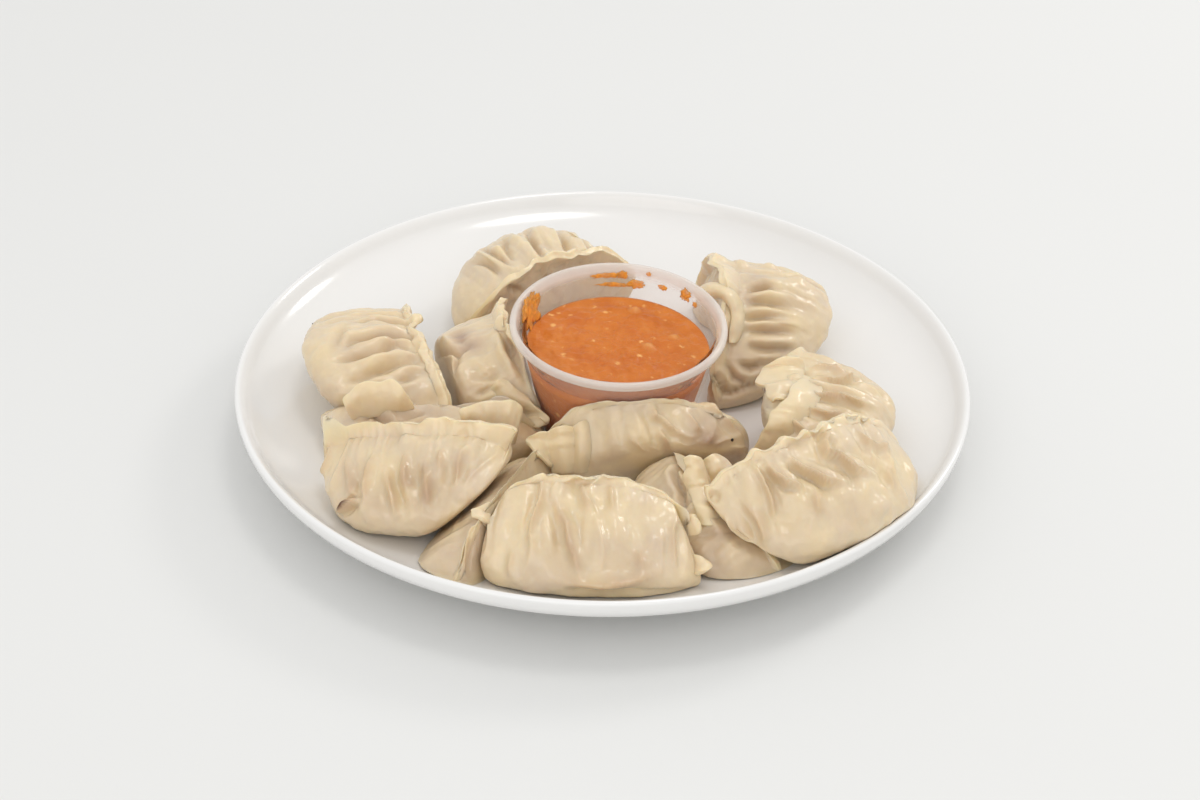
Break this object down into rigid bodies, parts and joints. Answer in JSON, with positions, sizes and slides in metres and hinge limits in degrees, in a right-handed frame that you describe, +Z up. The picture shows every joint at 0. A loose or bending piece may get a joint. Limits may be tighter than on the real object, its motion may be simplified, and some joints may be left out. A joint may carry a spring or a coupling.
{
  "type": "plate of momo dumplings",
  "caption": "White coupe plate of pleated half-moon momo dumplings lying round a clear plastic portion cup of orange dip.",
  "frame": {"origin": "on the table, under the middle of the plate", "axes": "+Z up, -Y towards the diner, +X to the diner's right"},
  "size_m": [0.256, 0.256, 0.0541],
  "materials": {
    "plate": "gloss white glaze",
    "cup": "clear polypropylene, slightly frosted",
    "dip": "thick smooth orange tomato and sesame dip, moist",
    "dough": "steamed wheat dough, moist, slightly translucent"
  },
  "bodies": {
    "root": {"plate": "plate", "dip_cup": "cup", "dip": "dip", "momo_front": "dough", "momo_front_left": "dough", "momo_front_right": "dough", "momo_under_left": "dough", "momo_under_right": "dough", "momo_centre": "dough", "momo_behind_left": "dough", "momo_left": "dough", "momo_middle_left": "dough", "momo_back_left": "dough", "momo_back_right": "dough", "momo_right": "dough"}
  },
  "joints": []
}
